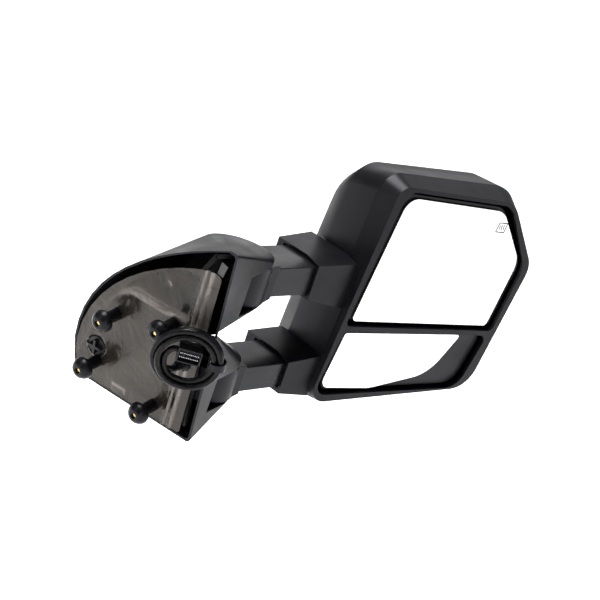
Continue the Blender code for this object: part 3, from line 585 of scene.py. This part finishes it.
def taped(name):
    """Cloth tape wound round a cable: slanted overlaps along the cable and a fine weave."""
    made, shader, tree = new_material(name, (0.004, 0.004, 0.005), 0.27)
    shader.inputs["Specular IOR Level"].default_value = 0.16
    place = node(tree, "ShaderNodeUVMap")
    place.uv_map = "wrap"
    wave = node(tree, "ShaderNodeTexWave", wave_type="BANDS", bands_direction="DIAGONAL",
                wave_profile="SAW")
    wave.inputs["Scale"].default_value = 0.5
    wave.inputs["Distortion"].default_value = 0.6
    wave.inputs["Detail"].default_value = 2.0
    tree.links.new(place.outputs["UV"], wave.inputs["Vector"])
    weave = node(tree, "ShaderNodeTexNoise")
    weave.inputs["Scale"].default_value = 14.0
    tree.links.new(place.outputs["UV"], weave.inputs["Vector"])
    blend = node(tree, "ShaderNodeMath", operation="MULTIPLY_ADD")
    blend.inputs[1].default_value = 0.25
    tree.links.new(weave.outputs["Fac"], blend.inputs[0])
    tree.links.new(wave.outputs["Fac"], blend.inputs[2])
    bump = node(tree, "ShaderNodeBump")
    bump.inputs["Strength"].default_value = 0.45
    bump.inputs["Distance"].default_value = 0.0004
    tree.links.new(blend.outputs["Value"], bump.inputs["Height"])
    tree.links.new(bump.outputs["Normal"], shader.inputs["Normal"])
    ramp = node(tree, "ShaderNodeValToRGB")
    ramp.color_ramp.elements[0].color = (0.001, 0.001, 0.0015, 1.0)
    ramp.color_ramp.elements[1].color = (0.005, 0.005, 0.0065, 1.0)
    tree.links.new(wave.outputs["Fac"], ramp.inputs["Fac"])
    tree.links.new(ramp.outputs["Color"], shader.inputs["Base Color"])
    return made


def make_looks():
    return {
        "textured_black": surface("textured_black", (0.0045, 0.0045, 0.0060), 0.36, depth=0.14,
                                  shine=0.20),
        "arm_black": surface("arm_black", (0.0070, 0.0070, 0.0088), 0.33, depth=0.08, grain=900.0,
                             shine=0.26),
        # The formed sheet's two relief colours are painted shade and painted highlight that follow its
        # pressed relief.
        "formed_gasket": surface("formed_gasket", (0.052, 0.045, 0.039), 0.28, 0.6, grain=700.0,
                                 depth=0.05, blotch=14.0, rough_spread=0.06, ripple=0.6,
                                 relief=((0.006, 0.005, 0.004), (0.30, 0.27, 0.25))),
        "coated_aluminium": surface("coated_aluminium", (0.010, 0.010, 0.011), 0.5, depth=0.3,
                                    shine=0.3),
        "steel": surface("steel", (0.55, 0.55, 0.57), 0.3, 1.0, depth=0.05),
        "yellow_zinc": surface("yellow_zinc", (0.70, 0.55, 0.20), 0.28, 1.0, depth=0.05),
        "silvered_glass": surface("silvered_glass", (0.93, 0.935, 0.94), 0.03, 1.0, depth=0.0,
                                  spread=0.005, rough_spread=0.005),
        "inner_plastic": surface("inner_plastic", (0.004, 0.004, 0.005), 0.40, depth=0.10,
                                 shine=0.3),
        "rubber": surface("rubber", (0.002, 0.002, 0.003), 0.30, depth=0.05, blotch=60.0,
                          shine=0.2),
        "heater_film": surface("heater_film", (0.55, 0.30, 0.08), 0.5, depth=0.05),
        "taped_cable": taped("taped_cable"),
        "grey_clip": surface("grey_clip", (0.030, 0.030, 0.033), 0.40, depth=0.10),
        "symbol_grey": surface("symbol_grey", (0.03, 0.03, 0.03), 0.6, depth=0.05, shine=0.2),
    }


# ---------------------------------------------------------------- finishing

def show(item, name, look, body, *nodes, slot=None):
    """Name a piece, give it its material, hang it on its body and put it in place of CAD nodes."""
    item.name = name
    item.data.name = name
    item.data.materials.clear()
    item.data.materials.append(LOOKS[look])
    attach(item, body)
    if nodes:
        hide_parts(*nodes)
    return item


def smooth(item, angle=35.0):
    item.data.polygons.foreach_set("use_smooth", [True] * len(item.data.polygons))
    item.data.set_sharp_from_angle(angle=math.radians(angle))


def soften(item, width, segments=2, angle=32.0, flat=0.4):
    """Merge coplanar faces, round every sharp edge and shade the result smoothly."""
    data = bmesh.new()
    data.from_mesh(item.data)
    bmesh.ops.remove_doubles(data, verts=data.verts, dist=2e-6)
    bmesh.ops.dissolve_limit(data, angle_limit=math.radians(flat), verts=data.verts,
                             edges=data.edges)
    for edge in data.edges:
        edge.smooth = True
    data.to_mesh(item.data)
    data.free()
    item.data.polygons.foreach_set("use_smooth", [True] * len(item.data.polygons))
    bevel = item.modifiers.new("bevel", "BEVEL")
    bevel.width = width
    bevel.segments = segments
    bevel.limit_method = "ANGLE"
    bevel.angle_limit = math.radians(angle)
    bevel.use_clamp_overlap = True
    level = item.modifiers.new("level", "WEIGHTED_NORMAL")
    level.mode = "FACE_AREA"
    level.weight = 60
    level.keep_sharp = False
    bpy.context.view_layer.update()
    graph = bpy.context.evaluated_depsgraph_get()
    made = bpy.data.meshes.new_from_object(item.evaluated_get(graph))
    item.modifiers.clear()
    item.data = made
    return item


def copy_of(name):
    item = bpy.data.objects.new(name + "_copy", NODES[name].data.copy())
    bpy.context.collection.objects.link(item)
    return item


# ---------------------------------------------------------------- harness

TURNS = 3
STRAND = 4.6 * MM                 # how far each turn's middle lies from the coil's own circle


def coil_point(angle, swing):
    """A point on a turn: angle round the coil and swing round the bundle, both in degrees."""
    a, s = math.radians(angle), math.radians(swing)
    radius = COIL_RADIUS + STRAND * math.cos(s)
    return on_coil(radius * math.cos(a), radius * math.sin(a), STRAND * math.sin(s))


def smooth_path(points, steps):
    """Catmull-Rom curve through the points."""
    result = []
    for i in range(len(points) - 1):
        p0 = points[max(i - 1, 0)]
        p1, p2 = points[i], points[i + 1]
        p3 = points[min(i + 2, len(points) - 1)]
        for k in range(steps):
            t = k / steps
            result.append(0.5 * ((2 * p1) + (p2 - p0) * t + (2 * p0 - 5 * p1 + 4 * p2 - p3) * t * t
                                 + (3 * p1 - p0 - 3 * p2 + p3) * t * t * t))
    result.append(points[-1])
    return result


def harness_route():
    start = on_base(*GROMMET, -16.3 * MM)
    away = base_axes()[2] * -1.0
    lead = [start + away * (k * 4.0 * MM) for k in range(2)]
    first, turn_angle = 222.0, 360.0 * TURNS - 40.0
    steps = 30 * TURNS
    wound = [coil_point(first - turn_angle * k / steps, 255.0 + 100.0 * turn_angle / 360.0 * k / steps)
             for k in range(steps + 1)]
    last = CONNECTOR_UP
    spots = ((-13.0, -26.5), (-20.5, -20.0), (-24.5, -11.0), (-25.0, -2.0), (-22.0, last / MM - 4.5),
             (-18.0, last / MM - 0.5))
    tail = [on_coil(right * MM, up * MM, 0.0) for right, up in spots]
    tail.append(on_coil(-(CONNECTOR_HALF[0] + GAP), last, 0.0))
    return smooth_path(lead + wound + tail, 2)


def tube_mesh(name, points, radius, sides=12):
    """Round tube along a path, with a uv map that counts cable diameters along and round it."""
    data = bmesh.new()
    wrap = data.loops.layers.uv.new("wrap")
    tangents = [(points[min(i + 1, len(points) - 1)] - points[max(i - 1, 0)]).normalized()
                for i in range(len(points))]
    side = tangents[0].orthogonal().normalized()
    rows, along, distance = [], [], 0.0
    for i, point in enumerate(points):
        side = (side - tangents[i] * side.dot(tangents[i])).normalized()
        other = tangents[i].cross(side)
        if i:
            distance += (point - points[i - 1]).length
        along.append(distance / (2.0 * radius))
        rows.append([data.verts.new(point + (side * math.cos(a) + other * math.sin(a)) * radius)
                     for a in (2.0 * math.pi * k / sides for k in range(sides))])
    for i in range(len(rows) - 1):
        for k in range(sides):
            j = (k + 1) % sides
            face = data.faces.new((rows[i][k], rows[i][j], rows[i + 1][j], rows[i + 1][k]))
            for loop, uv in zip(face.loops, ((along[i], k), (along[i], k + 1), (along[i + 1], k + 1),
                                             (along[i + 1], k))):
                loop[wrap].uv = (uv[0], uv[1] * 3.0 / sides)
    data.faces.new(rows[0][::-1])
    data.faces.new(rows[-1])
    bmesh.ops.recalc_face_normals(data, faces=data.faces)
    mesh = bpy.data.meshes.new(name)
    data.to_mesh(mesh)
    data.free()
    item = bpy.data.objects.new(name, mesh)
    bpy.context.collection.objects.link(item)
    smooth(item, 60.0)
    return item, distance


PIN_HALF = 0.45 * MM
PIN_SPAN = (2.5, 9.5)                # how far the pins reach out of the coil's plane, in mm


def build_connector():
    half_a, half_b = CONNECTOR_HALF
    middle = CONNECTOR_UP

    def rect(a, b, da=0.0, db=0.0):
        return ((da - a, middle + db - b), (da + a, middle + db - b),
                (da + a, middle + db + b), (da - a, middle + db + b))

    shell = prism(rect(half_a, half_b), on_coil, -7.0 * MM, 11.0 * MM)
    cut(shell, prism(rect(half_a - 1.6 * MM, half_b - 1.6 * MM), on_coil, 3.0 * MM, 12.0 * MM))
    for sign in (-1.0, 1.0):
        notch = rect(1.2 * MM, 1.0 * MM, sign * 6.0 * MM, half_b)
        cut(shell, prism(notch, on_coil, -2.0 * MM, 9.0 * MM))
    soften(shell, 0.4 * MM)
    show(shell, "connector_shell", "inner_plastic", "base", "harness_connector")
    pins = bmesh.new()
    for row in (-2.6, 2.6):
        for column in range(11):
            a, b = (column - 5) * 2.0 * MM, middle + row * MM
            corners = [on_coil(a + x * PIN_HALF, b + y * PIN_HALF, z * MM)
                       for z in PIN_SPAN for x, y in ((-1, -1), (1, -1), (1, 1), (-1, 1))]
            v = [pins.verts.new(c) for c in corners]
            for f in ((0, 1, 2, 3), (4, 7, 6, 5), (0, 4, 5, 1), (1, 5, 6, 2), (2, 6, 7, 3),
                      (3, 7, 4, 0)):
                pins.faces.new([v[i] for i in f])
    blades = to_object("connector_pins", pins)
    return shell, show(blades, "connector_pins", "steel", "base")


def build_harness():
    points = harness_route()
    cable, length = tube_mesh("harness", points, CABLE_RADIUS)
    show(cable, "harness", "taped_cable", "base", "harness_cable", "harness_coil", "harness_tail")
    shell, blades = build_connector()
    band = tube(arc_on_coil(-3.0, 13.0, 8), COIL_TUBE + 1.5 * MM, COIL_NORMAL, sides=36)
    cut(band, tube(arc_on_coil(-12.0, 22.0, 14), COIL_TUBE + 0.7 * MM, COIL_NORMAL, sides=36))
    soften(band, 0.3 * MM, 1)
    show(band, "bundle_tie", "rubber", "base", "harness_tie")
    grommet = turned(((9.3 * MM, PLATE[0] - GAP), (9.3 * MM, 0.2 * MM), (9.0 * MM, -1.4 * MM),
                      (7.5 * MM, -2.4 * MM), (7.2 * MM, -5.0 * MM), (6.6 * MM, -5.6 * MM),
                      (6.4 * MM, -8.4 * MM), (5.8 * MM, -9.0 * MM), (5.6 * MM, -12.0 * MM),
                      (5.0 * MM, -12.6 * MM), (4.8 * MM, -16.0 * MM)), on_base, GROMMET)
    smooth(grommet, 40.0)
    show(grommet, "grommet_boot", "rubber", "base", "harness_grommet")


# ---------------------------------------------------------------- base

def crest_height(a, b):
    """How far the formed sheet is pressed in (+) or stands out (-), in mm, at a point in mm."""
    ridge_x = -85.9 + (153.1 - b) * (21.7 / 222.2)
    d = a - ridge_x
    height = -1.9 * (math.exp(-(d / 1.7) ** 2) + math.exp(-((d - 8.5) / 1.9) ** 2))
    if d < -2.0:
        height += 0.8 * min((-2.0 - d) / 4.0, 1.0)
    crest = 71.5 + 0.0011 * (a + 30.0) ** 2 - (0.021 * max(a - 8.0, 0.0) ** 2)
    inside = 1.0 / (1.0 + math.exp(-(b - crest - 5.0) / 2.4))
    front = 1.0 / (1.0 + math.exp((d - 13.0) * -0.7))
    lip = 1.0 / (1.0 + math.exp((b - 134.0 + 0.0085 * max(a + 60.0, 0.0) ** 2) * 0.8))
    dish = 3.6 * inside * front * lip * (0.72 + 0.28 * math.cos((a + 45.0) / 30.0))
    height += dish
    height -= 1.5 * math.exp(-((b - crest + 2.0) / 5.0) ** 2) * front
    round_boss = math.hypot(a + 29.0, b - 105.0)
    height -= 1.5 / (1.0 + math.exp((round_boss - 4.2) * 2.5))
    recess = math.hypot(a - LOCATOR[0] / MM, b - LOCATOR[1] / MM)
    height += 2.0 / (1.0 + math.exp((recess - 13.8) * 2.0)) - 0.5 * math.exp(-((recess - 15.2) / 1.3) ** 2)
    box = max(abs(a - 16.0) - 10.5, abs(b + 62.0) - 4.0)
    height -= 1.2 / (1.0 + math.exp(box * 2.2))
    height += 0.12 * math.sin(a * 0.21 + 1.3) * math.sin(b * 0.17) + 0.10 * math.sin(b * 0.09 + a * 0.05)
    return height


def flatten_near_studs(a, b, height):
    for x, y in STUDS:
        away = math.hypot(a - x / MM, b - y / MM)
        keep = min(max((away - 8.5) / 4.0, 0.0), 1.0)
        height = height * keep + 0.2 * (1.0 - keep)
    return height


def build_gasket():
    data = bmesh.new()
    outline = gasket_outline()
    verts = [data.verts.new((x, y, 0.0)) for x, y in outline]
    data.faces.new(verts)
    step = 2.4 * MM
    for axis, low, high in ((0, -0.105, 0.095), (1, -0.080, 0.160)):
        for k in range(int((high - low) / step)):
            where, normal = [0.0, 0.0, 0.0], [0.0, 0.0, 0.0]
            where[axis], normal[axis] = low + k * step, 1.0
            geometry = data.verts[:] + data.edges[:] + data.faces[:]
            bmesh.ops.bisect_plane(data, geom=geometry, dist=1e-7, plane_co=where, plane_no=normal)
    data.verts.ensure_lookup_table()
    rim = {v for e in data.edges if len(e.link_faces) == 1 for v in e.verts}
    # Painted shade and highlight: lighter where the pressed relief tilts up, darker towards one side and
    # in the pressed-in hollows, as if lit from above.
    tint = data.verts.layers.float.new("painted_relief_shade")
    for v in data.verts:
        a, b = v.co.x / MM, v.co.y / MM
        depth = flatten_near_studs(a, b, crest_height(a, b))
        rise = crest_height(a, b + 1.5) - crest_height(a, b - 1.5)
        side = crest_height(a + 1.5, b) - crest_height(a - 1.5, b)
        v[tint] = min(max(0.42 + 0.30 * rise - 0.22 * side - 0.05 * depth, 0.0), 1.0)
        if v in rim:
            depth += 0.5
            ragged = 0.5 * math.sin(b * 0.83) + 0.4 * math.sin(b * 1.7 + 1.0)
            if a < -55.0 and -66.0 < b < 143.0:
                a += 0.6 + ragged
        v.co = on_base(a * MM, b * MM, min(depth + 0.4, 3.75) * MM)
    sheet = to_object("formed_sheet", data)
    thick = sheet.modifiers.new("thick", "SOLIDIFY")
    thick.thickness = 0.9 * MM
    thick.offset = 0.0
    bpy.context.view_layer.update()
    made = bpy.data.meshes.new_from_object(sheet.evaluated_get(bpy.context.evaluated_depsgraph_get()))
    sheet.modifiers.clear()
    sheet.data = made
    for spot, radius in [(s, 4.4 * MM) for s in STUDS] + [(LOCATOR, 13.2 * MM), (GROMMET, 9.8 * MM)]:
        cut(sheet, turned(((radius, -0.010), (radius, 0.010)), on_base, spot, sides=36))
    smooth(sheet, 70.0)
    show(sheet, "formed_sheet", "formed_gasket", "base", "base_gasket")


def build_corner_pad():
    """Small woven pad in the corner between the sheet and the cover."""
    corners = ((-90.5, 150.0, 1.2), (-98.5, 148.0, 1.2), (-103.0, 164.0, 1.2), (-94.0, 166.5, 1.2))
    pad = prism(rounded(corners), on_base, 2.2 * MM, 3.4 * MM)
    soften(pad, 0.4 * MM)
    show(pad, "corner_pad", "grey_clip", "base")


def build_cover():
    cover = cover_body(0.0, 1.0 * MM, 28.0 * MM, 0.0)
    cut(cover, cover_body(3.0, 3.0 * MM, 25.0 * MM, SHELL_WALL), solver="MANIFOLD")
    cut(cover, prism(rim_outline(3.0), on_base, -1.0 * MM, 3.2 * MM), solver="MANIFOLD")
    cut(cover, swing_cut(UPPER), swing_cut(LOWER), solver="MANIFOLD")
    soften(cover, 0.9 * MM, 2)
    show(cover, "sail_cover", "textured_black", "base", "base_cover")


def build_studs():
    for number, spot in enumerate(STUDS, 1):
        profile = ((3.4, -0.5), (7.2, -0.5), (7.5, -1.2), (7.0, -20.4), (7.6, -21.2), (12.4, -22.3),
                   (13.2, -23.0), (13.5, -24.2), (13.4, -26.2), (12.4, -29.2), (10.6, -32.0),
                   (8.4, -33.9), (6.2, -34.8), (4.3, -35.0), (3.5, -34.5), (3.4, -33.4))
        cap = turned_ring([(r * MM, d * MM) for r, d in profile], on_base, spot, RING_SIDES)
        smooth(cap, 40.0)
        show(cap, f"stud_cap_soft_{number}", "rubber", "base", f"stud_cap_{number}")
        show(thread_of(spot), f"stud_thread_{number}", "yellow_zinc", "base", f"stud_{number}")


def thread_of(spot):
    """Stud with a head, a plain shank and a rolled thread, drawn as closely spaced rings."""
    profile = [(6.5, 12.5), (6.5, 9.8), (3.0, 9.8), (3.0, -4.0)]
    depth = -4.0
    while depth > -30.4:
        profile += [(2.55, depth - 0.5), (3.0, depth - 1.0)]
        depth -= 1.0
    profile += [(2.2, -32.4)]
    stud = turned([(r * MM, d * MM) for r, d in profile], on_base, spot, sides=20)
    smooth(stud, 30.0)
    return stud


def build_locator():
    peg = turned(((12.5 * MM, PLATE[0] - GAP), (12.5 * MM, 1.2 * MM), (11.8 * MM, 0.6 * MM)),
                 on_base, LOCATOR)
    for half_a, half_b in ((9.5 * MM, 1.6 * MM), (1.6 * MM, 9.5 * MM)):
        a, b = LOCATOR
        bar = ((a - half_a, b - half_b), (a + half_a, b - half_b),
               (a + half_a, b + half_b), (a - half_a, b + half_b))
        join(peg, prism(bar, on_base, 1.5 * MM, -4.5 * MM))
    soften(peg, 0.35 * MM, 2)
    show(peg, "cross_peg", "inner_plastic", "base", "locator_peg")


# ---------------------------------------------------------------- head

def between(first, second, share):
    return tuple((a[0] + (b[0] - a[0]) * share, a[1] + (b[1] - a[1]) * share,
                  a[2] + (b[2] - a[2]) * share) for a, b in zip(first, second))


def cap_solid(inset):
    """The front shell's outer shape, or its inside, as one loft of evenly rounded rings."""
    seam = (BEZEL_DEPTH + GAP) / MM
    stations = [(seam - (1.0 if inset else 0.0), CREASE), *CAP_RINGS]
    rings = []
    for (d0, c0), (d1, c1) in zip(stations, stations[1:]):
        for share in (0.0, 0.5):
            rings.append((d0 + (d1 - d0) * share, between(c0, c1, share)))
    rings.append(stations[-1])
    placed = []
    for depth, corners in rings:
        back = inset if depth > seam + 5.0 else 0.0
        placed.append(head_ring(moved_corners(corners, -inset), (depth - back) * MM))
    return loft(placed)


def build_head_shells():
    cap = cap_solid(0.0)
    cut(cap, cap_solid(2.2), solver="MANIFOLD")
    top = HEAD_ORIGIN.z + INNER_SIDE_TOP
    cut(cap, block((0.15, -0.10, HEAD_ORIGIN.z + SIDE_BOTTOM), (SIDE_END_X, 0.0183, top)),
        solver="MANIFOLD")
    soften(cap, 0.5 * MM, 2, angle=45.0)
    show(cap, "front_shell", "textured_black", "head", "front_cap")

    bezel = loft((head_ring(LIP, 0.0), head_ring(CREASE, BEZEL_DEPTH)))
    pocket = loft((head_ring(moved_corners(LIP, -3.6), FRONT_WALL),
                   head_ring(moved_corners(CREASE, -3.6), BEZEL_DEPTH + 0.001)))
    cut(bezel, pocket, head_prism(UPPER_OPENING, -0.002, 0.010),
        head_prism(LOWER_OPENING, -0.002, 0.010),
        head_block((-0.030, SIDE_BOTTOM, 0.008), (0.036, INNER_SIDE_TOP, 0.030)), solver="MANIFOLD")
    soften(bezel, 1.6 * MM, 3)
    show(bezel, "bezel_shell", "textured_black", "head", "rear_bezel")


def build_glass():
    glass = head_prism(UPPER_GLASS, 7.0 * MM, 9.2 * MM)
    soften(glass, 0.5 * MM, 2)
    show(glass, "upper_mirror_glass", "silvered_glass", "upper_mirror", "upper_glass")
    glass = head_prism(LOWER_GLASS, 6.0 * MM, 8.2 * MM)
    soften(glass, 0.5 * MM, 2)
    show(glass, "lower_mirror_glass", "silvered_glass", "lower_mirror", "lower_glass")
    build_symbol()


def build_symbol():
    """Plain heat sign in the glass's upper corner: three wavy lines in a frame."""
    data = bmesh.new()

    def ribbon(points, half):
        for (a0, b0), (a1, b1) in zip(points, points[1:]):
            run = Vector((a1 - a0, b1 - b0)).normalized()
            side = Vector((-run.y, run.x)) * half
            quad = ((a0 - side.x, b0 - side.y), (a1 - side.x, b1 - side.y),
                    (a1 + side.x, b1 + side.y), (a0 + side.x, b0 + side.y))
            data.faces.new([data.verts.new(on_head(u * MM, v * MM, 6.85 * MM)) for u, v in quad])

    centre = (230.0, 152.0)
    for column in (-3.6, 0.0, 3.6):
        ribbon([(centre[0] + column + 0.9 * math.sin(k * 0.9), centre[1] - 3.5 + k * 0.7)
                for k in range(11)], 0.5)
    frame_line = [(centre[0] + x, centre[1] + y) for x, y in
                  ((-8.0, -7.0), (7.0, -7.0), (8.5, 6.0), (-6.5, 6.0), (-8.0, -7.0))]
    ribbon(frame_line, 0.65)
    mesh = bpy.data.meshes.new("heat_sign")
    data.to_mesh(mesh)
    data.free()
    sign = bpy.data.objects.new("heat_sign", mesh)
    bpy.context.collection.objects.link(sign)
    show(sign, "heat_sign", "symbol_grey", "upper_mirror", slot="grey_clip")


# ---------------------------------------------------------------- assembly

SOFTENED = (
    ("upper_knuckle", "upper_knuckle_shell", "textured_black", "arms", 1.4),
    ("lower_knuckle", "lower_knuckle_shell", "textured_black", "arms", 1.4),
    ("upper_arm", "upper_arm_tube", "arm_black", "arms", 1.6),
    ("lower_arm", "lower_arm_tube", "arm_black", "arms", 1.6),
    ("side_housing", "side_shell", "textured_black", "head", 1.6),
    ("upper_glass_carrier", "upper_carrier_plate", "inner_plastic", "upper_mirror", 0.6),
    ("lower_glass_carrier", "lower_carrier_plate", "inner_plastic", "lower_mirror", 0.6),
)

PLAIN = {
    "mount_bracket": "coated_aluminium", "upper_hinge_pin": "steel", "lower_hinge_pin": "steel",
    "upper_detent_plate": "steel", "lower_detent_plate": "steel", "upper_detent_spring": "steel",
    "lower_detent_spring": "steel", "upper_arm_stop": "steel", "lower_arm_stop": "steel",
    "actuator_screw_1": "steel", "actuator_screw_2": "steel", "actuator_screw_3": "steel",
    "head_frame": "inner_plastic", "upper_slide_bush": "inner_plastic",
    "lower_slide_bush": "inner_plastic", "glass_actuator": "inner_plastic",
    "spotter_mount": "inner_plastic", "tilt_jackscrew": "inner_plastic",
    "pan_jackscrew": "inner_plastic", "upper_gimbal_ring": "inner_plastic",
    "lower_gimbal_ring": "inner_plastic", "upper_heater_pad": "heater_film",
}

LOOKS = make_looks()
set_camera()
set_studio()
build_harness()
build_gasket()
build_cover()
build_corner_pad()
build_studs()
build_locator()
for cad, piece, look, body, width in SOFTENED:
    show(soften(copy_of(cad), width * MM, 3), piece, look, body, cad)
build_head_shells()
build_glass()
for cad, look in PLAIN.items():
    for spot in NODES[cad].material_slots:
        spot.material = LOOKS[look]
